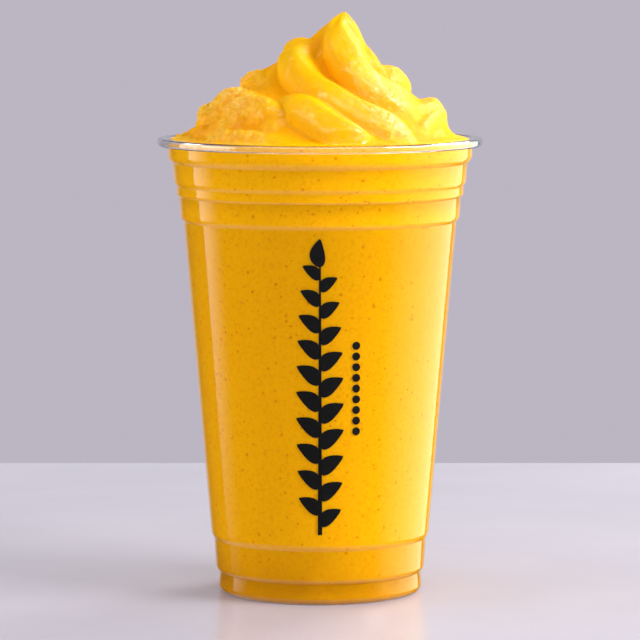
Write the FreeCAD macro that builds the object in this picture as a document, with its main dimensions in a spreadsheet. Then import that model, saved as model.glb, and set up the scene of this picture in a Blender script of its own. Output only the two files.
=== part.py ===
"""A clear plastic takeaway cup, filled to the brim with mango smoothie that stands up in a swirl.

Two pieces, both standing on the XY plane round the Z axis, in millimetres:
  cup       a thin formed sheet: rolled lip, stepped bands, tapering body and a raised floor in a foot ring
  smoothie  the drink, face to face with the cup's inside, with its swirl of overlapping folds on top
-Y is the front."""

import FreeCAD, Part
import math
import os

import Sketcher

doc = FreeCAD.newDocument("MangoSmoothie")

# ---------------------------------------------------------------------------------------- sizes
SIZES = {
    # the whole cup
    "cup_height": 137.6,
    "rim_radius": 49.0,
    "sheet": 0.45,
    # rolled lip, a curl of the same sheet
    "lip_height": 2.4,
    "lip_overhang": 3.1,
    "lip_bend": 0.35,
    "lip_return": 1.6,
    # bands below the lip, each ending in a rounded step inwards
    "collar_depth": 5.0,
    "collar_drop": 2.5,
    "collar_inset": 1.35,
    "shoulder_length": 5.0,
    "shoulder_taper": 0.46,
    "shoulder_drop": 1.9,
    "shoulder_inset": 0.7,
    "bead_length": 2.1,
    "bead_taper": 0.05,
    "bead_drop": 1.1,
    "bead_inset": 0.75,
    "chest_length": 5.55,
    "chest_taper": 0.4,
    "chest_drop": 1.95,
    "chest_inset": 0.95,
    # bands above the foot, counted from the ground up
    "foot_radius": 30.95,
    "foot_drop": 2.2,
    "foot_inset": 1.55,
    "foot_length": 3.9,
    "foot_flare": 0.45,
    "heel_drop": 2.0,
    "heel_inset": 1.2,
    "heel_length": 8.3,
    "heel_taper": 0.5,
    "waist_drop": 2.4,
    "waist_inset": 0.9,
    # ring that the cup stands on, and its raised floor
    "stand_width": 1.8,
    "recess_depth": 3.0,
    "recess_slope": 1.0,
    # drink
    "fill_gap": 1.6,
    "brim_width": 2.2,
    "brim_rise": 1.7,
    # swirl on top of the drink
    "swirl_height": 38.5,
    "swirl_lean": 7.4,
    "tip_blunt": 0.8,
    "fold_rise": 6.0,
    "fold_sink": 2.8,
    "fold_reach": 9.0,
    "fold_tuck": 3.4,
}

sheet = doc.addObject("Spreadsheet::Sheet", "Sizes")
for row, (alias, value) in enumerate(SIZES.items(), start=1):
    sheet.set(f"A{row}", alias)
    sheet.set(f"B{row}", str(value))
    sheet.setAlias(f"B{row}", alias)
doc.recompute()


class Size:
    """A number together with the expression that gives it from the cells of the sheet."""

    def __init__(self, value, text):
        self.value = float(value)
        self.text = text

    def _with(self, other, sign, work):
        if not isinstance(other, Size):
            other = Size(other, str(other))
        return Size(work(self.value, other.value), f"({self.text} {sign} {other.text})")

    def __add__(self, other):
        return self._with(other, "+", lambda a, b: a + b)

    def __sub__(self, other):
        return self._with(other, "-", lambda a, b: a - b)

    def __mul__(self, other):
        return self._with(other, "*", lambda a, b: a * b)

    def __truediv__(self, other):
        return self._with(other, "/", lambda a, b: a / b)

    def root(self):
        return Size(math.sqrt(self.value), f"sqrt({self.text})")


def size(alias):
    return Size(sheet.get(alias), f"Sizes.{alias}")


NOTHING = Size(0, "0")


# --------------------------------------------------------------------------- outlines in a sketch
class Outline:
    """A closed outline of lines and arcs in the XZ plane. Each corner and radius is bound to the sheet."""

    def __init__(self, body, name):
        self.sketch = body.newObject("Sketcher::SketchObject", name)
        planes = {plane.Role: plane for plane in body.Origin.OriginFeatures}
        self.sketch.AttachmentSupport = [(planes["XZ_Plane"], "")]
        self.sketch.MapMode = "FlatFace"
        self.steps = []

    def go(self, *corners):
        """Straight on to each corner, a pair of radius from the axis and height."""
        for corner in corners:
            self.steps.append((corner, None, 0))

    def turn(self, corner, radius, way):
        """An arc to the corner, way 1 to the left and -1 to the right."""
        self.steps.append((corner, radius, way))

    def _bind(self, kind, *where):
        *where, wanted = where
        number = self.sketch.addConstraint(Sketcher.Constraint(kind, *where, wanted.value))
        self.sketch.setExpression(f"Constraints[{number}]", wanted.text)

    def _pin(self, piece, end, corner):
        for kind, axis, wanted in (("DistanceX", -2, corner[0]), ("DistanceY", -1, corner[1])):
            if wanted is NOTHING:
                self.sketch.addConstraint(Sketcher.Constraint("PointOnObject", piece, end, axis))
            else:
                self._bind(kind, -1, 1, piece, end, wanted)

    def close(self):
        """Draws the outline. The last step ends where the first one began."""
        ends = []
        for number, (corner, radius, way) in enumerate(self.steps):
            before = self.steps[number - 1][0]
            first = FreeCAD.Vector(before[0].value, before[1].value, 0)
            last = FreeCAD.Vector(corner[0].value, corner[1].value, 0)
            if radius is None:
                piece = self.sketch.addGeometry(Part.LineSegment(first, last))
                ends.append((piece, 1, 2))
            else:
                chord = last - first
                reach = math.sqrt(radius.value**2 - (chord.Length / 2) ** 2)
                aside = FreeCAD.Vector(-chord.y, chord.x, 0).normalize() * reach * way
                middle = (first + last) / 2 + aside
                a, b = (first, last) if way > 0 else (last, first)
                circle = Part.Circle(middle, FreeCAD.Vector(0, 0, 1), radius.value)
                start = math.atan2(a.y - middle.y, a.x - middle.x)
                stop = math.atan2(b.y - middle.y, b.x - middle.x)
                piece = self.sketch.addGeometry(Part.ArcOfCircle(circle, start, stop))
                ends.append((piece, 1, 2) if way > 0 else (piece, 2, 1))
        for number, (piece, begin, _) in enumerate(ends):
            other, _, end = ends[number - 1]
            self.sketch.addConstraint(Sketcher.Constraint("Coincident", other, end, piece, begin))
        for (piece, _, end), (corner, radius, _) in zip(ends, self.steps):
            self._pin(piece, end, corner)
            if radius is not None:
                self._bind("Radius", piece, radius)


def revolved(label, draw):
    """A body that is one outline turned about the Z axis."""
    body = doc.addObject("PartDesign::Body", label.title())
    body.Label = label
    outline = Outline(body, f"{label.title()}Outline")
    draw(outline)
    outline.close()
    turned = body.newObject("PartDesign::Revolution", f"{label.title()}Turned")
    turned.Profile = outline.sketch
    turned.ReferenceAxis = (outline.sketch, ["V_Axis"])
    turned.Angle = 360
    outline.sketch.Visibility = False
    body.Placement = FreeCAD.Placement()
    return body


# ------------------------------------------------------------------------------------- the wall
wall = size("sheet")
top = size("cup_height")
collar_radius = size("rim_radius") - size("lip_overhang")


def step(name, radius, height):
    """The rounded step inwards under a band, from its lowest corner: the radius of the arc outside and
    inside the sheet, and the corner that it ends in on both sides."""
    drop = size(f"{name}_drop")
    inset = size(f"{name}_inset")
    bend = (drop * drop + inset * inset) / (inset * 2)
    below = radius - inset
    inner_bend = bend - wall
    inner_run = inner_bend - inset
    inner_drop = (inner_bend * inner_bend - inner_run * inner_run).root()
    return {
        "bends": (bend, inner_bend),
        "starts": ((radius, height), (radius - wall, height)),
        "ends": ((below, height - drop), (below - wall, height - inner_drop)),
    }


def upper_steps():
    """The steps from the lip down to the top of the body."""
    radius = collar_radius
    height = top - size("collar_depth")
    steps = [step("collar", radius, height)]
    for name in ("shoulder", "bead", "chest"):
        radius, height = steps[-1]["ends"][0]
        radius = radius - size(f"{name}_taper")
        height = height - size(f"{name}_length")
        steps.append(step(name, radius, height))
    return steps


def lower_steps():
    """The steps from the body down to the ground, worked out from the ground up."""
    foot = size("foot_radius")
    foot_top = size("foot_drop") + size("foot_length")
    heel = foot - size("foot_flare") + size("heel_inset")
    heel_low = foot_top + size("heel_drop")
    heel_top = heel_low + size("heel_length")
    waist = heel + size("heel_taper") + size("waist_inset")
    waist_low = heel_top + size("waist_drop")
    return [step("waist", waist, waist_low), step("heel", heel, heel_low)]


def foot_round():
    """The rounding from the foot band down to the ground. Inside, it stops at the sheet's thickness."""
    drop = size("foot_drop")
    inset = size("foot_inset")
    foot = size("foot_radius")
    bend = (drop * drop + inset * inset) / (inset * 2)
    inner_bend = bend - wall
    inner_drop = drop - wall
    inner_run = (inner_bend * inner_bend - inner_drop * inner_drop).root()
    return {
        "bends": (bend, inner_bend),
        "starts": ((foot, drop), (foot - wall, drop)),
        "ends": ((foot - inset, NOTHING), (foot - bend + inner_run, wall)),
    }


def down_the_wall(outline, side):
    """Down from the collar to the ground, on side 0, outside, or side 1, inside. Goes as drawn, downwards."""
    for part in upper_steps() + lower_steps() + [foot_round()]:
        outline.go(part["starts"][side])
        outline.turn(part["ends"][side], part["bends"][side], -1)


def up_the_wall(outline, side):
    """The same way back up."""
    for part in reversed(upper_steps() + lower_steps() + [foot_round()]):
        outline.go(part["ends"][side])
        outline.turn(part["starts"][side], part["bends"][side], 1)


stand_inner = size("foot_radius") - size("foot_inset") - size("stand_width")
floor_low = size("recess_depth")
floor_radius = stand_inner - size("recess_slope")


def draw_cup(outline):
    inner_bend = size("lip_bend")
    outer_bend = inner_bend + wall
    rim = size("rim_radius")
    lip_low = top - size("lip_height")
    root = collar_radius + inner_bend
    edge = rim - outer_bend
    high = top - outer_bend
    low = lip_low + outer_bend
    tip = edge - size("lip_return")

    outline.go((NOTHING, floor_low), (floor_radius, floor_low), (stand_inner, NOTHING))
    up_the_wall(outline, 0)
    outline.go((collar_radius, high))
    outline.turn((root, top - wall), inner_bend, -1)
    outline.go((edge, top - wall))
    outline.turn((rim - wall, high), inner_bend, -1)
    outline.go((rim - wall, low))
    outline.turn((edge, lip_low + wall), inner_bend, -1)
    outline.go((tip, lip_low + wall), (tip, lip_low), (edge, lip_low))
    outline.turn((rim, low), outer_bend, 1)
    outline.go((rim, high))
    outline.turn((edge, top), outer_bend, 1)
    outline.go((root, top))
    outline.turn((collar_radius - wall, high), outer_bend, 1)
    down_the_wall(outline, 1)
    outline.go((stand_inner + wall, wall), (floor_radius + wall, floor_low + wall), (NOTHING, floor_low + wall))


# ---------------------------------------------------------------------------------- the smoothie
fill_top = top - size("fill_gap")
brim_radius = collar_radius - wall
swirl_radius = brim_radius - size("brim_width")
swirl_base = fill_top + size("brim_rise")


def draw_fill(outline):
    outline.go((NOTHING, floor_low + wall), (floor_radius + wall, floor_low + wall), (stand_inner + wall, wall))
    up_the_wall(outline, 1)
    outline.go((brim_radius, fill_top), (swirl_radius, swirl_base), (NOTHING, swirl_base))


# Each fold's crest runs on the cone from its start to its end, as a cubic curve whose four points are an
# angle from the front, in degrees to the right, and a share of the swirl's height. After them come the
# shares of fold_rise, of fold_reach, up the cone, and of fold_tuck, under the crest.
FOLDS = {
    "peak": (((11, 0.98), (-3, 0.66), (28, 0.38), (62, 0.24)), 1.05, 1.3, 1.5),
    "front": (((-58, 0.72), (-42, 0.66), (54, 0.16), (37, 0.0)), 1.05, 0.65, 2.1),
    "lobe": (((-24, 0.26), (-14, 0.40), (14, 0.05), (17, 0.0)), 1.1, 0.8, 2.2),
    "left": (((-54, 0.18), (-51, 0.32), (-24, 0.28), (-22, 0.19)), 1.0, 0.6, 1.7),
    "bump": (((-80, 0.21), (-110, 0.31), (-58, 0.36), (-45, 0.32)), 0.9, 0.5, 1.4),
    "hem": (((-62, 0.04), (-45, 0.10), (-30, 0.07), (-8, 0.0)), 0.45, 0.55, 0.8),
    "curl": (((56, 0.14), (61, 0.17), (100, 0.25), (94, 0.08)), 0.7, 0.4, 0.9),
    "rear upper": (((-58, 0.72), (-95, 0.74), (-150, 0.62), (-215, 0.80)), 0.6, 0.7, 1.6),
    "rear left": (((-72, 0.44), (-95, 0.50), (-140, 0.38), (-195, 0.40)), 0.55, 0.7, 1.6),
    "rear right": (((66, 0.56), (95, 0.42), (130, 0.46), (165, 0.38)), 0.8, 0.6, 1.6),
    "rear middle": (((62, 0.24), (100, 0.20), (150, 0.24), (195, 0.20)), 0.9, 0.6, 1.8),
    "rear low": (((-80, 0.21), (-110, 0.12), (-140, 0.24), (-190, 0.06)), 0.9, 0.6, 1.6),
    "rear hem": (((96, 0.03), (130, 0.12), (160, 0.06), (185, 0.0)), 0.5, 0.6, 0.9),
}
CREST_STEPS = 24
ROUND_STEPS = 112
RISE_STEPS = 34


class Swirl:
    """The swirl's surface: a leaning cone, raised along its own normal by the folds."""

    def __init__(self):
        self.radius = swirl_radius.value
        self.base = swirl_base.value
        self.height = sheet.get("swirl_height")
        self.lean = sheet.get("swirl_lean")
        self.blunt = sheet.get("tip_blunt")
        self.slant = math.hypot(self.radius, self.height)
        self.crests = [self._crest(*fold) for fold in FOLDS.values()]

    def cone(self, angle, share):
        radius = self.radius * (1 - share)
        x = self.lean * share**2 + radius * math.sin(angle)
        z = self.base + self.height * share - self.blunt * math.exp((share - 1) / 0.03)
        return FreeCAD.Vector(x, -radius * math.cos(angle), z)

    def outward(self, angle):
        flat = self.height / self.slant
        return FreeCAD.Vector(math.sin(angle) * flat, -math.cos(angle) * flat, self.radius / self.slant)

    def _crest(self, corners, rise, reach, tuck):
        path = []
        for number in range(CREST_STEPS + 1):
            u = number / CREST_STEPS
            weights = ((1 - u) ** 3, 3 * u * (1 - u) ** 2, 3 * u**2 * (1 - u), u**3)
            angle = sum(w * corner[0] for w, corner in zip(weights, corners))
            share = sum(w * corner[1] for w, corner in zip(weights, corners))
            path.append(self.cone(math.radians(angle), min(max(share, 0), 1)))
        rise = rise * sheet.get("fold_rise")
        return path, rise, reach * sheet.get("fold_reach"), tuck * sheet.get("fold_tuck")

    def fold_height(self, crest, place, outward):
        """How far one fold lifts the cone at a place: a long slope above its crest, a steep face below."""
        path, rise, reach, tuck = crest
        distance = math.inf
        for number, start in enumerate(path[:-1]):
            run = path[number + 1] - start
            away = place - start
            part = min(max(away.dot(run) / run.dot(run), 0), 1)
            away = away - run * part
            if away.Length < distance:
                distance = away.Length
                along = (number + part) / CREST_STEPS
                below = run.cross(outward).dot(away) > 0
        fullness = 1 - 0.6 * abs(2 * along - 1) ** 4
        if below:
            return rise * fullness * math.sqrt(max(0, 1 - (distance / tuck) ** 2))
        return rise * fullness * math.cos(min(distance / reach, 1) * math.pi / 2) ** 1.2

    def unevenness(self, angle, share):
        waves = ((0.5, 3, 9, 1), (0.35, 7, -14, 0), (0.3, 11, 20, 2))
        return sum(rise * math.sin(a * angle + b * share + c) for rise, a, b, c in waves)

    def point(self, angle, share):
        place = self.cone(angle, share)
        outward = self.outward(angle)
        heights = [0] + [self.fold_height(crest, place, outward) for crest in self.crests]
        most = max(heights)
        soft = 0.4
        height = most + soft * math.log(sum(math.exp((h - most) / soft) for h in heights))
        height = height + self.unevenness(angle, share) - sheet.get("fold_sink")
        fade = min(share / 0.05, 1) ** 0.7 * min((1 - share) / 0.22, 1)
        return place + outward * (height * fade)

    def solid(self):
        """A smooth surface closed round the axis and at the tip, with a flat underside."""
        shares = [number / (RISE_STEPS - 1) for number in range(RISE_STEPS)]
        poles = [
            [self.point(2 * math.pi * number / ROUND_STEPS, share) for share in shares]
            for number in range(ROUND_STEPS)
        ]
        degree = 3
        round_knots = list(range(ROUND_STEPS + 1))
        rise_knots = list(range(RISE_STEPS - degree + 1))
        surface = Part.BSplineSurface()
        surface.buildFromPolesMultsKnots(
            poles,
            [1] * len(round_knots),
            [degree + 1] + [1] * (len(rise_knots) - 2) + [degree + 1],
            round_knots,
            rise_knots,
            True,
            False,
            degree,
            degree,
        )
        side = surface.toShape()
        rim = min(side.Edges, key=lambda edge: edge.BoundBox.ZMax)
        under = Part.Face(Part.Wire([rim])).reversed()
        return Part.Solid(Part.Shell([side, under]))


# ---------------------------------------------------------------------------------------- build
cup = revolved("cup", draw_cup)
fill = revolved("fill", draw_fill)
swirl = doc.addObject("Part::Feature", "Swirl")
swirl.Label = "swirl"
swirl.Shape = Swirl().solid()
swirl.Placement = FreeCAD.Placement()
smoothie = doc.addObject("Part::Fuse", "Smoothie")
smoothie.Label = "smoothie"
smoothie.Base = fill
smoothie.Tool = swirl
smoothie.Placement = FreeCAD.Placement()
doc.recompute()

for item in doc.Objects:
    if "Invalid" in item.State or "Error" in item.State:
        raise RuntimeError(f"{item.Label} was not built: {item.State}")

NODES = (cup, smoothie)
for item in NODES:
    shape = item.Shape
    if shape.isNull() or not shape.isValid() or len(shape.Solids) != 1:
        raise RuntimeError(f"{item.Label} is not one valid solid")

os.makedirs("parts", exist_ok=True)
for item in NODES:
    item.Shape.exportStep(f"parts/{item.Label}.step")
    print(item.Label, round(item.Shape.Volume), item.Shape.BoundBox)
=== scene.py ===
"""A clear takeaway cup filled to the brim with mango smoothie that stands up in a folded swirl.

The cup and the drink are turned and shaped round the Z axis, in metres, and -Y is the front."""

import math

import bpy
import numpy as np
from bpy.props import FloatProperty, FloatVectorProperty, IntProperty, PointerProperty
from bpy.types import Operator, Panel, PropertyGroup
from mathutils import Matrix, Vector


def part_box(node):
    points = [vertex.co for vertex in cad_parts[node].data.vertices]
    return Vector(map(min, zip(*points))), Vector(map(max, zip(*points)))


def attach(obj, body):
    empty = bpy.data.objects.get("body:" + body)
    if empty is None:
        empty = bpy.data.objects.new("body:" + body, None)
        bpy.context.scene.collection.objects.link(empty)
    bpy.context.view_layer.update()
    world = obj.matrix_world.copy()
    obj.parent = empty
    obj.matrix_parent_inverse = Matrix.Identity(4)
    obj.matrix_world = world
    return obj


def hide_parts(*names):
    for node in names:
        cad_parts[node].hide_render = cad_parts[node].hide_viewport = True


bl_info = {
    "name": "Mango Smoothie",
    "version": (1, 0, 0),
    "blender": (4, 5, 0),
    "location": "View3D > Sidebar > Smoothie",
    "description": "A clear takeaway cup of mango smoothie with a folded swirl",
    "category": "Add Mesh",
}

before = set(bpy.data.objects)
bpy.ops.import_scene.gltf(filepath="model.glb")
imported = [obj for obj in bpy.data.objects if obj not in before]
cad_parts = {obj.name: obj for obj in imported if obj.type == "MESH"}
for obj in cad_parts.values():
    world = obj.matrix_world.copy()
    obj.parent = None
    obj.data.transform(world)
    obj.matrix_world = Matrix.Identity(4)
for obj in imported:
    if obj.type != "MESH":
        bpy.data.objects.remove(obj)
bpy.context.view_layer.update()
CUP_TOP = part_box("cup")[1]
DRINK_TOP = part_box("smoothie")[1]
MM = 0.001
BODY = "root"


# ------------------------------------------------------------------------------------------ sizes
def length(name, default, description):
    return FloatProperty(
        name=name, description=description, default=default, min=0, subtype="DISTANCE", unit="LENGTH"
    )


def colour(name, default, description):
    return FloatVectorProperty(
        name=name, description=description, default=default, size=3, min=0, max=1, subtype="COLOR"
    )


def fraction(name, default, description):
    return FloatProperty(
        name=name, description=description, default=default, min=0, max=1, subtype="FACTOR"
    )


def whole(name, default, description, least=1, most=1000):
    return IntProperty(name=name, description=description, default=default, min=least, max=most)


class CupSettings(PropertyGroup):
    height: length("Height", CUP_TOP.z, "From the ground to the top of the lip")
    rim_radius: length("Rim radius", CUP_TOP.x, "Outside of the rolled lip")
    sheet: length("Sheet", 0.45 * MM, "Thickness of the formed sheet")
    lip_height: length("Lip height", 2.4 * MM, "Height of the rolled lip")
    lip_overhang: length("Lip overhang", 3.1 * MM, "How far the lip stands out from the collar")
    lip_bend: length("Lip bend", 0.35 * MM, "Inner radius of the lip's bends")
    lip_return: length("Lip return", 1.6 * MM, "How far the lip turns back in underneath")
    foot_radius: length("Foot radius", 30.95 * MM, "Outside of the foot band at its lowest")
    stand_width: length("Stand width", 1.8 * MM, "Width of the ring that touches the ground")
    recess_depth: length("Recess depth", 3.0 * MM, "How far the floor is raised inside the ring")
    recess_slope: length("Recess slope", 1.0 * MM, "How far the recess narrows on its way up")
    segments: whole("Segments", 320, "Faces round the cup", 24, 400)


class DrinkSettings(PropertyGroup):
    fill_gap: length("Fill gap", 1.6 * MM, "From the top of the lip down to the drink at the wall")
    wall_reach: length("Wall reach", 0.15 * MM, "How far the drink reaches into the sheet, so no air shows")
    brim_width: length("Brim width", 2.2 * MM, "Ring between the wall and the foot of the swirl")
    brim_rise: length("Brim rise", 1.7 * MM, "How far the drink rises across that ring")
    tip_blunt: length("Tip blunt", 0.8 * MM, "How far the tip is rounded down")
    lean: length("Lean", 7.4 * MM, "How far the tip stands to the right of the axis")
    fold_rise: length("Fold rise", 6.0 * MM, "Height of a full fold over the cone")
    fold_sink: length("Fold sink", 2.8 * MM, "How far the valleys lie under the cone")
    fold_reach: length("Fold reach", 9.0 * MM, "How far a fold slopes up the cone from its crest")
    fold_tuck: length("Fold tuck", 3.4 * MM, "How far a fold's steep face reaches under its crest")
    wrinkle: length("Wrinkle", 1.2 * MM, "Height of the soft lumps on the bare surface")
    wrinkle_scale: FloatProperty(
        name="Wrinkle scale", description="Soft lumps to a metre", default=340, min=1
    )
    wetness: fraction("Wetness", 0.1, "Share of light that the wet skin mirrors")
    segments: whole("Segments", 480, "Faces round the drink", 48, 520)
    flesh: colour("Flesh", (0.92, 0.437, 0.001), "Colour of the blended mango")
    # Painted shade: the colour put where the drink lies deep between the folds and between its curls.
    crease_shade: colour("Crease shade", (0.86, 0.30, 0.001), "The drink deep between the folds")
    # Painted shade: the colour the drink is darkened to towards the foot, as if less lit there.
    foot_shade: colour("Foot shade", (0.66, 0.285, 0.001), "The drink near the foot")
    # Pale flesh also paints the top of the drink paler, as painted light; its streaks are its own colour.
    pale: colour("Pale flesh", (0.95, 0.46, 0.002), "Colour of its paler streaks")
    # Painted highlight: the pale colour painted along the curls of wet skin.
    curl: colour("Curl glint", (1.0, 0.72, 0.15), "Colour of the curls of wet skin")
    speck: colour("Speck", (0.66, 0.17, 0.001), "Colour of the fine dark specks")


class PulpSettings(PropertyGroup):
    density: FloatProperty(
        name="Pulp density", description="Bits of pulp for each square metre", default=9000, min=0
    )
    pulp_length: length("Pulp length", 0.42 * MM, "Length of a bit of pulp")
    bubble_density: FloatProperty(
        name="Bubble density", description="Bubbles for each square metre", default=30000, min=0
    )
    bubble_size: length("Bubble size", 0.16 * MM, "Radius of a bubble")
    skin: colour("Bubble skin", (0.97, 0.62, 0.08), "Colour of the bubbles")
    skin_pale: colour("Pale bubble skin", (1.0, 0.8, 0.35), "Colour of the bubbles' palest parts")
    dark: colour("Dark pulp", (0.62, 0.17, 0.004), "Colour of the darkest bits")
    light: colour("Light pulp", (0.9, 0.32, 0.008), "Colour of the lightest bits")
    seed: IntProperty(name="Pulp seed", description="Where the bits of pulp fall", default=7)
    bubble_seed: IntProperty(name="Bubble seed", description="Where the bubbles fall", default=16)


class PrintSettings(PropertyGroup):
    low: length("Low end", 21.7 * MM, "Height of the sprig's lower end")
    high: length("High end", 107.5 * MM, "Height of the sprig's tip")
    leaf_length: length("Leaf length", 9.0 * MM, "Length of a leaf")
    leaf_width: length("Leaf width", 4.8 * MM, "Width of a leaf")
    stem_width: length("Stem width", 1.3 * MM, "Width of the stem")
    ink: length("Ink", 0.03 * MM, "Thickness of the ink on the sheet")
    pairs: whole("Pairs", 10, "Pairs of leaves on the sprig")
    dots: whole("Dots", 9, "Dots in the line beside the sprig")
    dot_radius: length("Dot radius", 1.2 * MM, "Radius of a dot")
    dot_pitch: length("Dot pitch", 3.2 * MM, "From one dot to the next")
    dots_low: length("Lowest dot", 52.8 * MM, "Height of the lowest dot")
    dots_aside: length("Dots aside", 10.8 * MM, "From the stem to the line of dots")
    colour: colour("Ink colour", (0.004, 0.004, 0.004), "Colour of the ink")
    faded: colour("Faded ink", (0.01, 0.01, 0.01), "Colour of the ink where it is thinnest")


class StageSettings(PropertyGroup):
    slab: length("Slab", 0.56, "Side of the square slab that the cup stands on")
    floor: colour("Floor", (0.50, 0.465, 0.525), "Colour of the slab")
    backdrop: colour("Backdrop", (0.50, 0.465, 0.545), "Colour behind it")


# ----------------------------------------------------------------------------------- node writing
class Wire:
    """An output socket of a node. Arithmetic on wires adds the Math nodes that work it out."""

    def __init__(self, graph, socket):
        self.graph = graph
        self.socket = socket

    def out(self, name):
        """Another output of the same node."""
        return Wire(self.graph, self.socket.node.outputs[name])

    def math(self, operation, *values):
        return self.graph.node("ShaderNodeMath", {"operation": operation}, dict(enumerate(values)))

    def __add__(self, other):
        return self.math("ADD", self, other)

    __radd__ = __add__

    def __sub__(self, other):
        return self.math("SUBTRACT", self, other)

    def __rsub__(self, other):
        return self.math("SUBTRACT", other, self)

    def __mul__(self, other):
        return self.math("MULTIPLY", self, other)

    __rmul__ = __mul__

    def __truediv__(self, other):
        return self.math("DIVIDE", self, other)

    def __rtruediv__(self, other):
        return self.math("DIVIDE", other, self)

    def __pow__(self, other):
        return self.math("POWER", self, other)

    def sine(self):
        return self.math("SINE", self)

    def cosine(self):
        return self.math("COSINE", self)

    def size(self):
        """This without its sign."""
        return self.math("ABSOLUTE", self)

    def over(self, limit):
        """1 where this is more than the limit, and 0 elsewhere."""
        return self.math("GREATER_THAN", self, limit)

    def between(self, low, high, to_low=0.0, to_high=1.0):
        """This range mapped smoothly to another, and held at its ends."""
        values = {0: self, 1: low, 2: high, 3: to_low, 4: to_high}
        return self.graph.node("ShaderNodeMapRange", {"interpolation_type": "SMOOTHSTEP"}, values)


class Graph:
    """A node tree that nodes are added to by type, settings and the values or links of their sockets."""

    def __init__(self, tree):
        self.tree = tree

    def node(self, kind, settings=None, values=None, output=0):
        """A new node, as the wire of one of its outputs. A node that ends a tree has none."""
        node = self.tree.nodes.new(kind)
        for name, value in (settings or {}).items():
            setattr(node, name, value)
        for name, value in (values or {}).items():
            if isinstance(value, Wire):
                self.tree.links.new(value.socket, node.inputs[name])
            else:
                node.inputs[name].default_value = value
        return Wire(self, node.outputs[output]) if node.outputs else None

    def blend(self, share, first, second):
        """Two colours mixed by a share."""
        values = {"Factor": share, 6: rgba(first), 7: rgba(second)}
        return self.node("ShaderNodeMix", {"data_type": "RGBA"}, values, 2)

    def place(self):
        """The object's own coordinates."""
        return self.node("ShaderNodeTexCoord", None, None, "Object")

    def split(self, vector):
        """A vector's three parts. Used as it is, it is the first of them."""
        return self.node("ShaderNodeSeparateXYZ", None, {0: vector})

    def vector(self, x=0.0, y=0.0, z=0.0):
        return self.node("ShaderNodeCombineXYZ", None, {0: x, 1: y, 2: z})

    def mark(self, name):
        """A number that the mesh holds at each point."""
        return self.node("ShaderNodeAttribute", {"attribute_name": name}, None, "Fac")

    def copies(self, points, shape, **values):
        """A shape set on each point."""
        values = {"Points": points, "Instance": shape, **values}
        return self.node("GeometryNodeInstanceOnPoints", None, values)

    def noise(self, place, scale, detail=2.0, roughness=0.5, distortion=0.0):
        values = {"Scale": scale, "Detail": detail, "Roughness": roughness, "Distortion": distortion}
        return self.node("ShaderNodeTexNoise", None, {"Vector": place, **values})


def rgba(value):
    """A colour property, or three numbers, as the four that a socket takes. A wire stays a wire."""
    return value if isinstance(value, Wire) else (*value, 1.0)


def material(name):
    """An empty material and its graph."""
    made = bpy.data.materials.new(name)
    made.use_nodes = True
    made.node_tree.nodes.clear()
    return made, Graph(made.node_tree)


def surface(graph, shader):
    """Ends a material's graph in a shader."""
    graph.node("ShaderNodeOutputMaterial", None, {"Surface": shader})


def principled(graph, **values):
    """A Principled shader. Underscores in the names of the values stand for spaces."""
    named = {name.replace("_", " "): value for name, value in values.items()}
    return graph.node("ShaderNodeBsdfPrincipled", None, named)


class Shaper:
    """A geometry tree with named inputs, run on a mesh that is then left plain. It takes the values that
    have an input's name and passes over the others."""

    def __init__(self, name, sockets):
        self.group = bpy.data.node_groups.new(name, "GeometryNodeTree")
        self.graph = Graph(self.group)
        add = self.group.interface.new_socket
        add("Geometry", in_out="INPUT", socket_type="NodeSocketGeometry")
        for label, kind in sockets.items():
            add(label, in_out="INPUT", socket_type=f"NodeSocket{kind}")
        add("Geometry", in_out="OUTPUT", socket_type="NodeSocketGeometry")
        self.entry = self.graph.node("NodeGroupInput")

    def input(self, name):
        return self.entry.out(name)

    def finish(self, geometry, finish):
        """Ends the tree in plain geometry with its material."""
        real = self.graph.node("GeometryNodeRealizeInstances", None, {0: geometry})
        painted = self.graph.node("GeometryNodeSetMaterial", None, {"Geometry": real, "Material": finish})
        self.graph.node("NodeGroupOutput", None, {0: painted})

    def run(self, piece, values):
        """Shapes a piece. An empty result is an error."""
        modifier = piece.modifiers.new("Shape", "NODES")
        modifier.node_group = self.group
        for item in self.group.interface.items_tree:
            if item.in_out == "INPUT" and item.name in values:
                modifier[item.identifier] = values[item.name]
        view = bpy.context.evaluated_depsgraph_get()
        mesh = bpy.data.meshes.new_from_object(
            piece.evaluated_get(view), preserve_all_data_layers=True, depsgraph=view
        )
        piece.modifiers.remove(modifier)
        if not mesh.polygons:
            raise RuntimeError(f"{piece.name} came out empty")
        piece.data = mesh
        mesh.name = piece.name


def new_piece(name, points, faces=(), edges=()):
    mesh = bpy.data.meshes.new(name)
    mesh.from_pydata(points, edges, faces)
    piece = bpy.data.objects.new(name, mesh)
    bpy.context.scene.collection.objects.link(piece)
    return piece


# ------------------------------------------------------------------------------ the cup's outline
# Each band under the lip: its length, how far its radius shrinks on the way down, and the drop and
# inset of the rounded step that ends it, in millimetres.
UPPER_BANDS = (
    (5.0, 0.0, 2.5, 1.35),
    (5.0, 0.46, 1.9, 0.7),
    (2.1, 0.05, 1.1, 0.75),
    (5.55, 0.4, 1.95, 0.95),
)
WAIST_STEP = (2.4, 0.9)
HEEL_BAND = (8.3, 0.5, 2.0, 1.2)
FOOT_BAND = (3.9, -0.45, 2.2, 1.55)
ARC_STEPS = 9
SEAM = 0.001 * MM  # points of the turned cup that lie nearer than this are one
SHARP_ANGLE = math.radians(35)


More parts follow.
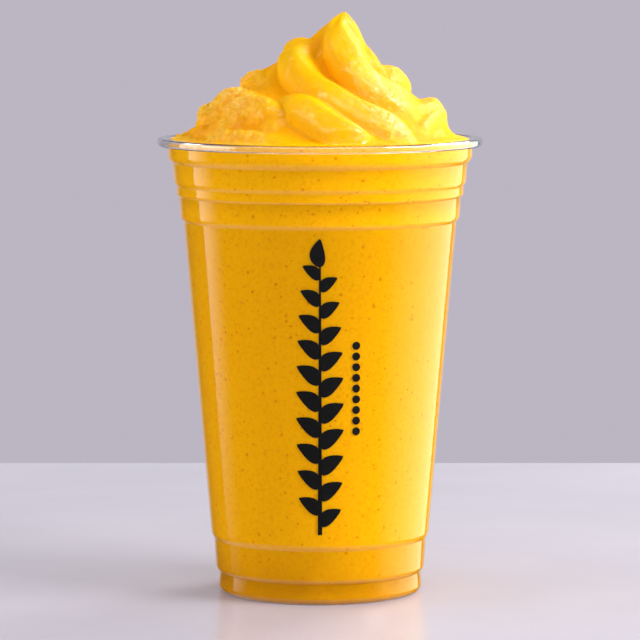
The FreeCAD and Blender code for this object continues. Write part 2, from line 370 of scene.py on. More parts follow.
def arc(start, end, radius, way):
    """Points from start to end on an arc that turns left for way 1 and right for -1."""
    start = np.array(start)
    end = np.array(end)
    chord = end - start
    half = np.hypot(*chord) / 2
    aside = np.array((-chord[1], chord[0])) / (2 * half)
    middle = (start + end) / 2 + aside * way * math.sqrt(max(radius**2 - half**2, 0))
    first = math.atan2(*(start - middle)[::-1])
    turn = 2 * math.asin(min(half / radius, 1)) * way
    angles = first + turn * np.arange(1, ARC_STEPS + 1) / ARC_STEPS
    bend = [tuple(middle + radius * np.array((math.cos(a), math.sin(a)))) for a in angles]
    return [tuple(start), *bend]


def wall_steps(cup):
    """Each rounded step from the lip down to the ground, as the radius and height where it starts, with
    its drop and inset."""
    radius = cup.rim_radius - cup.lip_overhang
    height = cup.height
    steps = []
    for long, taper, drop, inset in np.array(UPPER_BANDS) * MM:
        radius -= taper
        height -= long
        steps.append((radius, height, drop, inset))
        radius -= inset
        height -= drop
    foot_long, foot_taper, foot_drop, foot_inset = np.array(FOOT_BAND) * MM
    heel_long, heel_taper, heel_drop, heel_inset = np.array(HEEL_BAND) * MM
    waist_drop, waist_inset = np.array(WAIST_STEP) * MM
    heel_radius = cup.foot_radius + foot_taper + heel_inset
    heel_height = foot_drop + foot_long + heel_drop
    waist_radius = heel_radius + heel_taper + waist_inset
    waist_height = heel_height + heel_long + waist_drop
    steps.append((waist_radius, waist_height, waist_drop, waist_inset))
    steps.append((heel_radius, heel_height, heel_drop, heel_inset))
    steps.append((cup.foot_radius, foot_drop, foot_drop, foot_inset))
    return steps


def down_the_wall(cup, depth):
    """Points from the collar's first step down to the ground ring, at a depth into the sheet."""
    points = []
    for radius, height, drop, inset in wall_steps(cup):
        bend = (drop**2 + inset**2) / (2 * inset) - depth
        if height > drop:
            run = bend - inset
            fall = math.sqrt(bend**2 - run**2)
        else:
            fall = drop - depth
            run = math.sqrt(bend**2 - fall**2)
        middle = radius - depth - bend
        points += arc((radius - depth, height), (middle + run, height - fall), bend, -1)
    return points


def floor_corners(cup, depth):
    """The foot ring's inner corner and the floor's corner, at a depth into the sheet from underneath."""
    ring = cup.foot_radius - FOOT_BAND[3] * MM - cup.stand_width
    return [(ring + depth, depth), (ring - cup.recess_slope + depth, cup.recess_depth + depth)]


def body_radius(cup, height):
    """Outer radius of the tapering body at a height."""
    top, bottom = wall_steps(cup)[3:5]
    rise = (height - bottom[1]) / (top[1] - top[2] - bottom[1])
    return bottom[0] + (top[0] - top[3] - bottom[0]) * rise


def cup_outline(cup):
    """The whole section of the sheet, from the axis underneath, over the lip, to the axis inside."""
    sheet = cup.sheet
    collar = cup.rim_radius - cup.lip_overhang
    inner = cup.lip_bend
    outer = inner + sheet
    rim = cup.rim_radius
    top = cup.height
    low = top - cup.lip_height
    root = collar + inner
    edge = rim - outer
    tip = edge - cup.lip_return
    ring, floor = floor_corners(cup, 0)
    points = [(0, floor[1]), floor, ring, *reversed(down_the_wall(cup, 0))]
    points += arc((collar, top - outer), (root, top - sheet), inner, -1)
    points += arc((edge, top - sheet), (rim - sheet, top - outer), inner, -1)
    points += arc((rim - sheet, low + outer), (edge, low + sheet), inner, -1)
    points += [(tip, low + sheet), (tip, low)]
    points += arc((edge, low), (rim, low + outer), outer, 1)
    points += arc((rim, top - outer), (edge, top), outer, 1)
    points += arc((root, top), (collar - sheet, top - outer), outer, 1)
    points += down_the_wall(cup, sheet)
    ring, floor = floor_corners(cup, sheet)
    return [*points, ring, floor, (0, floor[1])]


def turning_tree(finish):
    """Turns an outline in the XZ plane about the Z axis. The outline runs from the axis to the axis."""
    shaper = Shaper("Turned", {"Segments": "Int", "Sharp angle": "Float"})
    graph = shaper.graph
    outline = shaper.input("Geometry")
    segments = shaper.input("Segments")
    corners = graph.node("GeometryNodeAttributeDomainSize", {"component": "MESH"}, {0: outline})
    sizes = {"Vertices X": corners, "Vertices Y": segments + 1}
    grid = graph.node("GeometryNodeMeshGrid", None, sizes)
    place = graph.split(graph.node("GeometryNodeInputPosition"))
    row = (place.out("X") + 0.5) * (corners - 1)
    angle = (place.out("Y") + 0.5) * -math.tau
    sampled = graph.node(
        "GeometryNodeSampleIndex",
        {"data_type": "FLOAT_VECTOR", "domain": "POINT"},
        {
            "Geometry": outline,
            "Value": graph.node("GeometryNodeInputPosition"),
            "Index": graph.node("FunctionNodeFloatToInt", {"rounding_mode": "ROUND"}, {0: row}),
        },
    )
    corner = graph.split(sampled)
    radius = corner.out("X")
    around = graph.vector(radius * angle.cosine(), radius * angle.sine(), corner.out("Z"))
    turned = graph.node("GeometryNodeSetPosition", None, {"Geometry": grid, "Position": around})
    closed = graph.node("GeometryNodeMergeByDistance", None, {"Geometry": turned, "Distance": SEAM})
    smooth = graph.node("GeometryNodeSetShadeSmooth", {"domain": "FACE"}, {0: closed, 2: True})
    bent = graph.node("GeometryNodeInputMeshEdgeAngle").over(shaper.input("Sharp angle"))
    sharp = graph.node("GeometryNodeSetShadeSmooth", {"domain": "EDGE"}, {0: smooth, 1: bent, 2: False})
    shaper.finish(sharp, finish)
    return shaper


# ------------------------------------------------------------------------------ the swirl's folds
# Each fold's crest runs on the cone from its start to its end, as a cubic curve whose four points are an
# angle from the front, in degrees to the right, and a share of the swirl's height. After them come the
# shares of the fold's rise, of its reach up the cone, and of its tuck under the crest.
FOLDS = {
    "peak": (((11, 0.98), (-3, 0.66), (28, 0.38), (62, 0.24)), 1.05, 1.3, 1.5),
    "front": (((-58, 0.72), (-42, 0.66), (54, 0.16), (37, 0.0)), 1.05, 0.65, 2.1),
    "lobe": (((-24, 0.26), (-14, 0.40), (14, 0.05), (17, 0.0)), 1.1, 0.8, 2.2),
    "left": (((-54, 0.18), (-51, 0.32), (-24, 0.28), (-22, 0.19)), 1.0, 0.6, 1.7),
    "bump": (((-80, 0.21), (-110, 0.31), (-58, 0.36), (-45, 0.32)), 0.9, 0.5, 1.4),
    "hem": (((-62, 0.04), (-45, 0.10), (-30, 0.07), (-8, 0.0)), 0.45, 0.55, 0.8),
    "curl": (((56, 0.14), (61, 0.17), (100, 0.25), (94, 0.08)), 0.7, 0.4, 0.9),
    "rear upper": (((-58, 0.72), (-95, 0.74), (-150, 0.62), (-215, 0.80)), 0.6, 0.7, 1.6),
    "rear left": (((-72, 0.44), (-95, 0.50), (-140, 0.38), (-195, 0.40)), 0.55, 0.7, 1.6),
    "rear right": (((66, 0.56), (95, 0.42), (130, 0.46), (165, 0.38)), 0.8, 0.6, 1.6),
    "rear middle": (((62, 0.24), (100, 0.20), (150, 0.24), (195, 0.20)), 0.9, 0.6, 1.8),
    "rear low": (((-80, 0.21), (-110, 0.12), (-140, 0.24), (-190, 0.06)), 0.9, 0.6, 1.6),
    "rear hem": (((96, 0.03), (130, 0.12), (160, 0.06), (185, 0.0)), 0.5, 0.6, 0.9),
}
CREST_STEPS = 24
FOLD_BLEND = 0.4 * MM  # how softly a fold runs into the next
FOOT_FADE = 0.05  # shares of the swirl's height in which the folds swell up, die down,
TIP_FADE = 0.22
TIP_ROUND = 0.03  # and the tip is rounded
VALLEY_FROM = 0.7  # share of a full fold's height under which the skin lies in a valley
SWIRL_RINGS = 124
BRIM_RINGS = 6
# Waves of unevenness: their height in millimetres, turns round the cone, turns up it, and start.
WAVES = ((0.5, 3, 9, 1), (0.35, 7, -14, 0), (0.3, 11, 20, 2))


class Swirl:
    """The swirl's surface: a leaning cone, raised along its own normal by the folds."""

    def __init__(self, cup, drink):
        self.drink = drink
        self.radius = cup.rim_radius - cup.lip_overhang - cup.sheet - drink.brim_width
        self.base = cup.height - drink.fill_gap + drink.brim_rise
        self.height = DRINK_TOP.z - self.base + drink.tip_blunt
        self.slant = math.hypot(self.radius, self.height)

    def cone(self, angle, share):
        radius = self.radius * (1 - share)
        x = self.drink.lean * share**2 + radius * np.sin(angle)
        z = self.base + self.height * share - self.drink.tip_blunt * np.exp((share - 1) / TIP_ROUND)
        return np.stack([x, -radius * np.cos(angle), z], -1)

    def outward(self, angle):
        flat = self.height / self.slant
        up = np.full_like(angle, self.radius / self.slant)
        return np.stack([np.sin(angle) * flat, -np.cos(angle) * flat, up], -1)

    def crest(self, corners):
        """A fold's crest as points on the cone."""
        u = np.linspace(0, 1, CREST_STEPS + 1)[:, None]
        weights = np.hstack([(1 - u) ** 3, 3 * u * (1 - u) ** 2, 3 * u**2 * (1 - u), u**3])
        angle, share = (weights @ np.array(corners, float)).T
        return self.cone(np.radians(angle), share.clip(0, 1))

    def fold_height(self, fold, place, outward):
        """How far one fold lifts the cone: a long slope above its crest, and a steep face below."""
        corners, rise, reach, tuck = fold
        path = self.crest(corners)

        # The nearest point of the crest: how far it is, on which side, and how far along.
        nearest = np.full(place.shape[:-1], np.inf)
        side = np.zeros_like(nearest)
        along = np.zeros_like(nearest)
        for number in range(CREST_STEPS):
            start = path[number]
            run = path[number + 1] - start
            away = place - start
            part = ((away @ run) / (run @ run)).clip(0, 1)
            away = away - part[..., None] * run
            distance = (away**2).sum(-1)
            closer = distance < nearest
            nearest = np.where(closer, distance, nearest)
            below = (np.cross(run, outward) * away).sum(-1)
            side = np.where(closer, below, side)
            along = np.where(closer, (number + part) / CREST_STEPS, along)

        distance = np.sqrt(nearest)
        fullness = rise * self.drink.fold_rise * (1 - 0.6 * np.abs(2 * along - 1) ** 4)
        steep = np.sqrt((1 - (distance / (tuck * self.drink.fold_tuck)) ** 2).clip(0))
        gentle = np.cos((distance / (reach * self.drink.fold_reach)).clip(0, 1) * math.pi / 2) ** 1.2
        return fullness * np.where(side > 0, steep, gentle)

    def points(self, angle, share):
        """The surface, and how deep in a valley between the folds each point lies, from 0 to 1."""
        place = self.cone(angle, share)
        outward = self.outward(angle)
        heights = [self.fold_height(fold, place, outward) for fold in FOLDS.values()]
        heights = np.stack([np.zeros_like(angle), *heights])
        most = heights.max(0)
        height = most + FOLD_BLEND * np.log(np.exp((heights - most) / FOLD_BLEND).sum(0))
        for rise, turns, climbs, start in WAVES:
            height = height + rise * MM * np.sin(turns * angle + climbs * share + start)
        height = height - self.drink.fold_sink
        fade = (share / FOOT_FADE).clip(0, 1) ** 0.7 * ((1 - share) / TIP_FADE).clip(0, 1)
        # The valley share is also used to paint shade into the drink's colour between the folds.
        valley = (1 - most / (VALLEY_FROM * self.drink.fold_rise)).clip(0, 1) * fade
        return place + outward * (height * fade)[..., None], valley


def ring_faces(rows, around):
    """Quads that face outwards, between rows of points with the lowest row first."""
    row = np.arange(rows - 1)[:, None] * around
    here = np.arange(around)
    there = (here + 1) % around
    quads = np.stack([row + here, row + there, row + around + there, row + around + here], -1)
    return quads.reshape(-1, 4).tolist()


def drink_outline(cup, drink, swirl):
    """The section of the drink's turned part, from its floor to the foot of the swirl."""
    depth = cup.sheet - drink.wall_reach
    ring, floor = floor_corners(cup, depth)
    outline = [(floor[0] * share, floor[1]) for share in (0.33, 0.66)]
    outline += [floor, ring, *reversed(down_the_wall(cup, depth))]
    wall = cup.rim_radius - cup.lip_overhang - depth
    fill = cup.height - drink.fill_gap
    for share in np.linspace(0, 1, BRIM_RINGS + 1)[:-1]:
        radius = wall + (swirl.radius - wall) * share
        outline.append((radius, fill + drink.brim_rise * math.sin(share * math.pi / 2) ** 0.8))
    return outline


def drink_mesh(cup, drink):
    """The drink's points and faces, from its floor to the tip of the swirl, and for each point how bare
    it is and how deep it lies between the folds, from 0 to 1."""
    swirl = Swirl(cup, drink)
    outline = drink_outline(cup, drink, swirl)
    angle = np.arange(drink.segments) * math.tau / drink.segments
    turned = [
        np.stack([radius * np.sin(angle), -radius * np.cos(angle), np.full_like(angle, height)], -1)
        for radius, height in outline
    ]
    shares = np.linspace(0, 1, SWIRL_RINGS + 1)[:-1]
    grid_share, grid_angle = np.meshgrid(shares, angle, indexing="ij")
    tops, valley = swirl.points(grid_angle, grid_share)
    tip = swirl.points(np.zeros(1), np.ones(1))[0][0]
    rows = np.concatenate([np.array(turned), tops])

    total, around = rows.shape[:2]
    points = [*rows.reshape(-1, 3).tolist(), (0, 0, outline[0][1]), tuple(tip)]
    bottom = total * around
    faces = ring_faces(total, around)
    for here in range(around):
        there = (here + 1) % around
        faces.append((bottom, there, here))
        faces.append((bottom - around + here, bottom - around + there, bottom + 1))

    covered = len(outline)
    bare = np.zeros((total, around))
    bare[covered - BRIM_RINGS + 1 : covered] = 0.5
    bare[covered:] = 1
    deep = np.zeros_like(bare)
    deep[covered:] = valley
    return points, faces, {"bare": np.append(bare, (0, 1)), "valley": np.append(deep, (0, 0))}


# ------------------------------------------------------------------------------------- materials
def clear_sheet_material():
    """Clear formed plastic. Lamps reach what stands behind it."""
    made, graph = material("clear formed plastic")
    place = graph.place()
    waves = graph.noise(place, 90)
    scuffs = graph.noise(place, 900, 3, 0.6)
    bump = graph.node("ShaderNodeBump", None, {"Strength": 0.08, "Distance": 0.6 * MM, "Height": waves})
    glass = principled(
        graph,
        Base_Color=(0.985, 0.99, 1.0, 1.0),
        Roughness=scuffs.between(0.45, 0.8, 0.02, 0.07),
        IOR=1.57,
        Transmission_Weight=1.0,
        Normal=bump,
    )
    path = graph.node("ShaderNodeLightPath", None, None, "Is Shadow Ray")
    passing = path.math("MAXIMUM", path, path.out("Is Diffuse Ray"))
    clear = graph.node("ShaderNodeBsdfTransparent", None, {"Color": (0.97, 0.97, 0.97, 1)})
    surface(graph, graph.node("ShaderNodeMixShader", None, {0: passing, 1: glass, 2: clear}))
    return made


def wet_sides(x):
    """1 at the swirl's left and right, where its skin is curly and wet, and 0 between them."""
    return x.between(5 * MM, 22 * MM) + x.between(-26 * MM, -10 * MM, 1.0, 0.0)


def smoothie_material(drink):
    """Thick blended mango: soft light inside, fine specks, and a wet curly skin where it is bare."""
    made, graph = material("mango smoothie")
    place = graph.place()
    corner = graph.split(place)
    bare = graph.mark("bare")
    valley = graph.mark("valley")

    # Flesh with painted shade that darkens it towards the foot and painted light that pales it towards the
    # top, with paler streaks of its own.
    height = corner.out("Z")
    lower = graph.blend(height.between(2 * MM, 20 * MM), drink.foot_shade, drink.flesh)
    # Painted light: the top of the drink is paled as if more brightly lit.
    painted_top_light = height.between(100 * MM, 140 * MM) * 0.8
    streaks = graph.noise(place, 55, 4, 0.55, 0.6).between(0.35, 0.7) * 0.3
    shade = graph.blend(painted_top_light + streaks, lower, drink.pale)

    # Fine grains everywhere, and round specks of many sizes in some of the cells.
    grains = graph.noise(place, 1000, 3, 0.7).between(0.45, 0.75, 0.0, 0.34) * (1.0 - bare * 0.6)
    cells = graph.node("ShaderNodeTexVoronoi", None, {"Vector": place, "Scale": 620}, "Distance")
    chance = graph.node("ShaderNodeSeparateColor", None, {0: cells.out("Color")})
    size = chance.out("Green") ** 2.0 * 0.3 + 0.1
    specks = cells.between(size * 0.6, size, 1.0, 0.0) * chance.over(0.65) * (0.6 - bare * 0.4)
    shade = graph.blend(grains + specks, shade, drink.speck)

    # Painted shade between the folds, painted shade between the curls at the sides, and painted highlights
    # along the curls.
    sides = wet_sides(corner)
    winding = graph.noise(place, 380, 1, 0.4, 1.6) * 2.0 - 1.0
    curls = (1.0 - winding.size() * 5.0).between(0.0, 1.0)
    curly = sides * bare * (1.0 - valley)
    # Painted shade between the folds.
    shade = graph.blend(valley**2.5 * 0.5, shade, drink.crease_shade)
    # Painted shade between the curls, deepening the painted highlights beside them.
    shade = graph.blend((1.0 - curls) * curly * 0.3, shade, drink.crease_shade)
    # Painted highlights along the curls.
    shade = graph.blend(curls * curly * 0.45, shade, drink.curl)
    body = principled(
        graph,
        Base_Color=shade,
        Roughness=0.8,
        IOR=1.05,
        Subsurface_Weight=0.4,
        Subsurface_Radius=(1.0, 0.42, 0.06),
        Subsurface_Scale=1.6 * MM,
    )

    # A mirroring film over it, wrinkled by the curls and by finer lumps.
    lumps = graph.noise(place, 700, 2, 0.5, 0.8)
    relief = (curls * 0.75 + lumps * 0.25) * (sides * 0.92 + 0.08) * bare
    bump = graph.node("ShaderNodeBump", None, {"Strength": 1.0, "Distance": 1.9 * MM, "Height": relief})
    film = principled(graph, Base_Color=(1, 1, 1, 1), Metallic=1.0, Roughness=0.055, Normal=bump)
    mirrored = bare * drink.wetness * (sides * 0.65 + 0.35) * (1.0 - valley * 0.5)
    surface(graph, graph.node("ShaderNodeMixShader", None, {0: mirrored, 1: body, 2: film}))
    return made


def pulp_material(pulp):
    """Bits of mango, each of its own tone."""
    made, graph = material("mango pulp")
    grain = graph.noise(graph.place(), 3000)
    tone = graph.blend(graph.mark("shade") * 0.8 + grain * 0.2, pulp.dark, pulp.light)
    rough = grain.between(0.3, 0.7, 0.3, 0.5)
    surface(graph, principled(graph, Base_Color=tone, Roughness=rough, IOR=1.38))
    return made


def bubble_material(pulp):
    """Thin wet skin over the drink."""
    made, graph = material("bubble skin")
    film = graph.noise(graph.place(), 2500)
    tone = graph.blend(film, pulp.skin, pulp.skin_pale)
    rough = film.between(0.3, 0.7, 0.08, 0.16)
    surface(graph, principled(graph, Base_Color=tone, Roughness=rough, IOR=1.38))
    return made


def ink_material(inked):
    """Black ink with a faint grain."""
    made, graph = material("printed ink")
    grain = graph.noise(graph.place(), 1500, 3)
    tone = graph.blend(grain.between(0.3, 0.8, 0.0, 0.6), inked.colour, inked.faded)
    rough = grain.between(0.3, 0.7, 0.4, 0.5)
    surface(graph, principled(graph, Base_Color=tone, Roughness=rough, IOR=1.3))
    return made


def slab_material(stage):
    """Pale polished stone with faint clouds."""
    made, graph = material("pale slab")
    cloud = graph.noise(graph.place(), 9, 4)
    darker = tuple(part * 0.94 for part in stage.floor)
    tone = graph.blend(cloud.between(0.3, 0.7), darker, stage.floor)
    rough = cloud.between(0.3, 0.7, 0.16, 0.22)
    surface(graph, principled(graph, Base_Color=tone, Roughness=rough, IOR=1.2))
    return made


# ------------------------------------------------------- trees of the skin, the bits and the print
GROUND_GAP = 4 * MM  # bits keep this far off the ground
INK_LIFT = 0.004 * MM  # how far the underside of the ink clears the sheet
LEAF_TILT = math.radians(38)  # over the horizontal
DOT_SIDES = 24


def relief_tree(finish):
    """Soft lumps where the drink is bare, along its own normals, and low except at the left."""
    shaper = Shaper("Wet relief", {"Height": "Float", "Scale": "Float"})
    graph = shaper.graph
    bare = graph.node("GeometryNodeInputNamedAttribute", {"data_type": "FLOAT"}, {"Name": "bare"})
    place = graph.node("GeometryNodeInputPosition")
    lumps = graph.noise(place, shaper.input("Scale"), 3, 0.5, 0.8)
    rough = graph.split(place).between(-26 * MM, -10 * MM, 1.0, 0.08)
    push = (lumps - 0.5) * 4.0 * shaper.input("Height") * bare * rough
    values = {0: graph.node("GeometryNodeInputNormal"), "Scale": push}
    shift = graph.node("ShaderNodeVectorMath", {"operation": "SCALE"}, values)
    moved = graph.node("GeometryNodeSetPosition", None, {0: shaper.input("Geometry"), "Offset": shift})
    smooth = graph.node("GeometryNodeSetShadeSmooth", None, {0: moved, 2: True})
    shaper.finish(smooth, finish)
    return shaper


def scatter_tree(name, finish, smallest, stretch, crowding, ceiling):
    """Small rounded bits on the surface of a mesh, each turned and sized by chance. They stay under a
    ceiling and off the ground, and crowding gathers them in patches. Only the bits come out."""
    shaper = Shaper(name, {"Density": "Float", "Size": "Float", "Seed": "Int"})
    graph = shaper.graph
    place = graph.node("GeometryNodeInputPosition")
    height = graph.split(place).out("Z")
    patches = graph.noise(place, 70, 1).between(0.62 - 0.6 / crowding, 0.7)
    spots = graph.node(
        "GeometryNodeDistributePointsOnFaces",
        {"distribute_method": "RANDOM"},
        {
            0: shaper.input("Geometry"),
            "Selection": height.over(GROUND_GAP) * (1.0 - height.over(ceiling)),
            "Density": shaper.input("Density") * patches,
            "Seed": shaper.input("Seed"),
        },
    )
    bit = graph.node("GeometryNodeMeshIcoSphere", None, {"Radius": 1.0, "Subdivisions": 1})

    def chance(least, most, seed):
        values = {2: least, 3: most, "Seed": seed}
        return graph.node("FunctionNodeRandomValue", {"data_type": "FLOAT"}, values, 1)

    spin = graph.vector(z=chance(0.0, math.tau, 1))
    turned = graph.node(
        "FunctionNodeRotateRotation",
        {"rotation_space": "LOCAL"},
        {0: spots.out("Rotation"), 1: graph.node("FunctionNodeEulerToRotation", None, {0: spin})},
    )
    size = chance(smallest, 1.0, 2) ** 2.0 * shaper.input("Size")
    scale = graph.vector(size * chance(1.0, stretch, 3), size * 0.5, size * 0.35)
    placed = graph.copies(spots, bit, Rotation=turned, Scale=scale)
    shaded = graph.node(
        "GeometryNodeStoreNamedAttribute",
        {"data_type": "FLOAT", "domain": "INSTANCE"},
        {0: placed, "Name": "shade", "Value": chance(0.0, 1.0, 4)},
    )
    real = graph.node("GeometryNodeRealizeInstances", None, {0: shaded})
    smooth = graph.node("GeometryNodeSetShadeSmooth", None, {0: real, 2: True})
    shaper.finish(smooth, finish)
    return shaper


def sprig_tree(finish):
    """A stem with pairs of leaves and a line of dots beside it, wrapped round the tapering body."""
    lengths = ("Low end", "High end", "Leaf length", "Leaf width", "Stem width", "Ink")
    lengths += ("Dot radius", "Dot pitch", "Lowest dot", "Dots aside", "Foot radius", "Taper")
    sockets = {"Pairs": "Int", "Dots": "Int", **{name: "Float" for name in lengths}}
    shaper = Shaper("Printed sprig", sockets)
    graph = shaper.graph
    given = shaper.input
    low, high = given("Low end"), given("High end")
    pitch = (high - low) / (given("Pairs") + 1.0)

    def moved(geometry, x, y, z=0.0):
        values = {0: geometry, "Position": graph.vector(x, y, z)}
        return graph.node("GeometryNodeSetPosition", None, values)

    def own_place():
        return graph.split(graph.node("GeometryNodeInputPosition"))

    blade = graph.node("GeometryNodeMeshGrid", None, {"Vertices X": 13, "Vertices Y": 7})
    spot = own_place()
    along = spot.out("X") + 0.5
    swell = (along**0.75 * math.pi).sine() ** 0.8
    curve = (along * math.pi).sine() * given("Leaf width") * 0.18
    across = spot.out("Y") * given("Leaf width") * swell + curve
    leaf = moved(blade, along * given("Leaf length"), across)

    def leaves(side):
        line = graph.node("GeometryNodeMeshLine", None, {"Count": given("Pairs")})
        number = graph.node("GeometryNodeInputIndex")
        start = low + pitch * (number + (0.35 if side > 0 else 0.8))
        points = moved(line, 0.0, start)
        turn = (0.0, 0.0, LEAF_TILT if side > 0 else math.pi - LEAF_TILT)
        fullness = 1.0 - (number / given("Pairs") - 0.35) ** 2.0 * 0.9
        size = graph.vector(fullness, fullness * side, 1.0)
        return graph.copies(points, leaf, Rotation=turn, Scale=size)

    stalk = graph.node("GeometryNodeMeshGrid", None, {"Vertices X": 5, "Vertices Y": 80})
    spot = own_place()
    up = spot.out("Y") + 0.5
    width = given("Stem width") * (1.0 - up * 0.6)
    stem = moved(stalk, spot.out("X") * width, low + (high - low - pitch * 0.6) * up)
    tip_spot = moved(graph.node("GeometryNodeMeshLine", None, {"Count": 1}), 0.0, high - pitch * 0.75)
    tip = graph.copies(tip_spot, leaf, Rotation=(0, 0, math.pi / 2), Scale=(0.95, 0.95, 1.0))
    line = graph.node("GeometryNodeMeshLine", None, {"Count": given("Dots")})
    height = graph.node("GeometryNodeInputIndex") * given("Dot pitch") + given("Lowest dot")
    points = moved(line, given("Dots aside"), height)
    disc = {"Vertices": DOT_SIDES, "Radius": given("Dot radius")}
    dot = graph.node("GeometryNodeMeshCircle", {"fill_type": "TRIANGLE_FAN"}, disc)
    dots = graph.copies(points, dot)
    join = graph.node("GeometryNodeJoinGeometry")
    for part in (leaves(1), leaves(-1), stem, tip, dots):
        graph.tree.links.new(part.socket, join.socket.node.inputs[0])
    flat = graph.node("GeometryNodeRealizeInstances", None, {0: join})
    values = {"Mesh": flat, 3: 0.0, "Individual": False}
    thick = graph.node("GeometryNodeExtrudeMesh", {"mode": "FACES"}, values)
    spot = own_place()
    radius = given("Foot radius") + spot.out("Y") * given("Taper")
    radius = radius + INK_LIFT + thick.out("Top") * given("Ink")
    angle = spot.out("X") / radius
    wrapped = moved(thick, radius * angle.sine(), radius * angle.cosine() * -1.0, spot.out("Y"))
    shaper.finish(wrapped, finish)
    return shaper


# ------------------------------------------------------------------------------------- operators
class SMOOTHIE_OT_cup(Operator):
    """Turn the clear cup from one thin section"""

    bl_idname = "smoothie.cup"
    bl_label = "Make Cup"

    def execute(self, context):
        cup = context.scene.smoothie_cup
        points = [(radius, 0.0, height) for radius, height in cup_outline(cup)]
        edges = [(number, number + 1) for number in range(len(points) - 1)]
        piece = new_piece("clear_cup", points, edges=edges)
        tree = turning_tree(clear_sheet_material())
        tree.run(piece, {"Segments": cup.segments, "Sharp angle": SHARP_ANGLE})
        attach(piece, BODY)
        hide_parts("cup")
        return {"FINISHED"}


class SMOOTHIE_OT_drink(Operator):
    """Fill the cup and fold the swirl on top"""

    bl_idname = "smoothie.drink"
    bl_label = "Make Drink"

    def execute(self, context):
        cup = context.scene.smoothie_cup
        drink = context.scene.smoothie_drink
        points, faces, marks = drink_mesh(cup, drink)
        piece = new_piece("mango_smoothie", points, faces)
        for name, values in marks.items():
            piece.data.attributes.new(name, "FLOAT", "POINT").data.foreach_set("value", values)
        tree = relief_tree(smoothie_material(drink))
        tree.run(piece, {"Height": drink.wrinkle, "Scale": drink.wrinkle_scale})
        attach(piece, BODY)
        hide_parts("smoothie")
        return {"FINISHED"}


def scatter(context, name, tree, density, size, seed):
    """A piece made of bits on the drink."""
    piece = bpy.data.objects.new(name, bpy.data.objects["mango_smoothie"].data.copy())
    context.scene.collection.objects.link(piece)
    tree.run(piece, {"Density": density, "Size": size, "Seed": seed})
    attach(piece, BODY)


class SMOOTHIE_OT_bits(Operator):
    """Scatter pulp and bubbles over the drink"""

    bl_idname = "smoothie.bits"
    bl_label = "Scatter Pulp and Bubbles"

    def execute(self, context):
        pulp = context.scene.smoothie_pulp
        in_the_cup = CUP_TOP.z
        everywhere = 2 * DRINK_TOP.z
        tree = scatter_tree("Pulp bits", pulp_material(pulp), 0.45, 3.0, 1, in_the_cup)
        scatter(context, "pulp_bits", tree, pulp.density, pulp.pulp_length, pulp.seed)
        tree = scatter_tree("Bubbles", bubble_material(pulp), 0.5, 1.1, 12, everywhere)
        scatter(context, "bubbles", tree, pulp.bubble_density, pulp.bubble_size, pulp.bubble_seed)
        return {"FINISHED"}


class SMOOTHIE_OT_print(Operator):
    """Print a plain sprig and a line of dots on the cup's front"""

    bl_idname = "smoothie.print"
    bl_label = "Print Sprig"

    def execute(self, context):
        cup = context.scene.smoothie_cup
        inked = context.scene.smoothie_print
        foot = body_radius(cup, 0)
        shown = inked.bl_rna.properties
        values = {shown[field].name: getattr(inked, field) for field in inked.__annotations__}
        values["Foot radius"] = foot
        values["Taper"] = (body_radius(cup, cup.height) - foot) / cup.height
        piece = new_piece("printed_sprig", [(0, 0, 0)])
        sprig_tree(ink_material(inked)).run(piece, values)
        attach(piece, BODY)
        return {"FINISHED"}


# --------------------------------------------------------------------------------------- the stage
WHITE = (1.0, 1.0, 1.0)
SLAB_THICKNESS = 0.02
LAMP_AIM = 0.09  # height of the point that every lamp faces
NO_FADE = 0.001  # share of a lamp's size that its edge takes at least
CAMERA_LENS = 217.1  # millimetres
CAMERA_FILM = 36  # millimetres
CAMERA_AWAY = 1.163
CAMERA_HEIGHT = 0.199
CAMERA_DIP = math.radians(5.73)


def softbox(name, azimuth, elevation, distance, size, power, fade=(0.0, 0.0, 0.0), tint=WHITE):
    """A rectangular lamp at an azimuth from the front towards the right, facing the cup. It fades in over
    a share of its size from its left side, its right side and its bottom, seen from behind it."""
    lamp = bpy.data.lights.new(name, "AREA")
    lamp.shape = "RECTANGLE"
    lamp.size, lamp.size_y = size
    lamp.energy = power
    lamp.use_nodes = True
    lamp.node_tree.nodes.clear()
    graph = Graph(lamp.node_tree)
    across = graph.split(graph.node("ShaderNodeNewGeometry", None, None, "Parametric"))
    left, right, bottom = (share + NO_FADE for share in fade)
    glow = across.between(0.0, left) * (1.0 - across).between(0.0, right)
    glow = glow * across.out("Y").between(0.0, bottom)
    emission = graph.node("ShaderNodeEmission", None, {"Color": rgba(tint), "Strength": glow})
    graph.node("ShaderNodeOutputLight", None, {"Surface": emission})
    box = bpy.data.objects.new(name, lamp)
    turn, rise = math.radians(azimuth), math.radians(elevation)
    away = math.cos(rise) * distance
    height = LAMP_AIM + distance * math.sin(rise)
    box.location = (away * math.sin(turn), -away * math.cos(turn), height)
    box.rotation_euler = (math.pi / 2 - rise, 0, turn)
    bpy.context.scene.collection.objects.link(box)
    return box


def set_lamps():
    """Two of the lamps light the cup and aren't mirrored, and the lip shine is only mirrored."""
    softbox("key lamp", 66, 28, 0.95, (0.5, 0.6), 10.5)
    softbox("lip shine", 5, 50, 0.6, (1.1, 0.26), 3.2).visible_diffuse = False
    softbox("front lamp", 4, 24, 0.42, (0.25, 0.1), 0.45).visible_glossy = False
    softbox("left fill", -80, 10, 0.5, (0.3, 0.3), 0.9).visible_glossy = False
    softbox("right lamp", 101, 6, 0.8, (1.7, 0.9), 8, (0.75, 0.0, 0.0), (0.92, 1.06, 0.85))
    softbox("left strip", -101, 8, 0.8, (0.4, 0.9), 2.3, (0.0, 0.9, 0.35))
    softbox("back lamp", 145, 35, 0.9, (0.35, 0.3), 4.5)
    softbox("left back lamp", -140, 40, 0.9, (0.15, 0.15), 0.4)


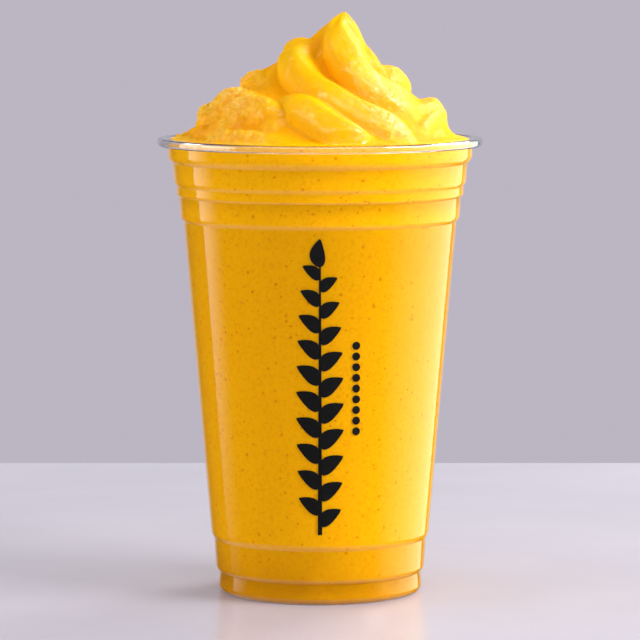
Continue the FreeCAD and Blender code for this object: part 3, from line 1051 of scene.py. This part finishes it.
def soft_room(backdrop):
    """A world that shows a plain backdrop, lights evenly, and mirrors dark but for patches behind and
    below the cup."""
    world = bpy.data.worlds.new("soft room")
    world.use_nodes = True
    world.node_tree.nodes.clear()
    graph = Graph(world.node_tree)
    path = graph.node("ShaderNodeLightPath", None, None, "Is Camera Ray")
    seen = path.math("MAXIMUM", path, path.out("Is Transmission Ray"))
    lighting = path.out("Is Diffuse Ray")
    way = graph.split(graph.node("ShaderNodeTexCoord", None, None, "Generated"))
    behind = way.out("Y").between(0.86, 0.97, 0.0, 0.5)
    below = way.out("Z").between(-0.6, -0.35, 0.6, 0.0)
    strength = 0.03 + lighting * 0.46 + (behind + below) * (1.0 - lighting)
    room = graph.node("ShaderNodeBackground", None, {"Color": (0.9, 0.9, 1.0, 1), "Strength": strength})
    drop = graph.node("ShaderNodeBackground", None, {"Color": rgba(backdrop), "Strength": 1.0})
    both = graph.node("ShaderNodeMixShader", None, {0: seen, 1: room, 2: drop})
    graph.node("ShaderNodeOutputWorld", None, {"Surface": both})
    return world


def slab_mesh(side):
    """A square slab with its top on the ground plane."""
    half = side / 2
    corners = [(x, y, z) for z in (-SLAB_THICKNESS, 0) for x, y in ((-1, -1), (1, -1), (1, 1), (-1, 1))]
    points = [(x * half, y * half, z) for x, y, z in corners]
    faces = [(0, 3, 2, 1), (4, 5, 6, 7), (0, 1, 5, 4), (1, 2, 6, 5), (2, 3, 7, 6), (3, 0, 4, 7)]
    return points, faces


class SMOOTHIE_OT_stage(Operator):
    """Set the slab, the soft lamps and the camera"""

    bl_idname = "smoothie.stage"
    bl_label = "Set Stage"

    def execute(self, context):
        stage = context.scene.smoothie_stage
        slab = new_piece("slab", *slab_mesh(stage.slab))
        slab.data.materials.append(slab_material(stage))
        slab.visible_glossy = False
        set_lamps()
        context.scene.world = soft_room(stage.backdrop)

        camera = bpy.data.cameras.new("camera")
        camera.lens = CAMERA_LENS
        camera.sensor_width = CAMERA_FILM
        seat = bpy.data.objects.new("camera", camera)
        seat.location = (0, -CAMERA_AWAY, CAMERA_HEIGHT)
        seat.rotation_euler = (math.pi / 2 - CAMERA_DIP, 0, 0)
        context.scene.collection.objects.link(seat)
        context.scene.camera = seat
        context.scene.view_settings.view_transform = "Standard"
        return {"FINISHED"}


class SMOOTHIE_PT_panel(Panel):
    """The sizes and colours of each piece, with the button that makes it"""

    bl_label = "Mango Smoothie"
    bl_space_type = "VIEW_3D"
    bl_region_type = "UI"
    bl_category = "Smoothie"

    def draw(self, context):
        for name, (_, operator) in SECTIONS.items():
            box = self.layout.box()
            group = getattr(context.scene, name)
            for field in group.__annotations__:
                box.prop(group, field)
            box.operator(operator.bl_idname)


SECTIONS = {
    "smoothie_cup": (CupSettings, SMOOTHIE_OT_cup),
    "smoothie_drink": (DrinkSettings, SMOOTHIE_OT_drink),
    "smoothie_pulp": (PulpSettings, SMOOTHIE_OT_bits),
    "smoothie_print": (PrintSettings, SMOOTHIE_OT_print),
    "smoothie_stage": (StageSettings, SMOOTHIE_OT_stage),
}


def register():
    for name, (group, operator) in SECTIONS.items():
        bpy.utils.register_class(group)
        bpy.utils.register_class(operator)
        setattr(bpy.types.Scene, name, PointerProperty(type=group))
    bpy.utils.register_class(SMOOTHIE_PT_panel)


def unregister():
    bpy.utils.unregister_class(SMOOTHIE_PT_panel)
    for name, (group, operator) in SECTIONS.items():
        delattr(bpy.types.Scene, name)
        bpy.utils.unregister_class(operator)
        bpy.utils.unregister_class(group)


def main():
    register()
    for name in ("cup", "drink", "bits", "print", "stage"):
        getattr(bpy.ops.smoothie, name)()


if __name__ == "__main__":
    main()
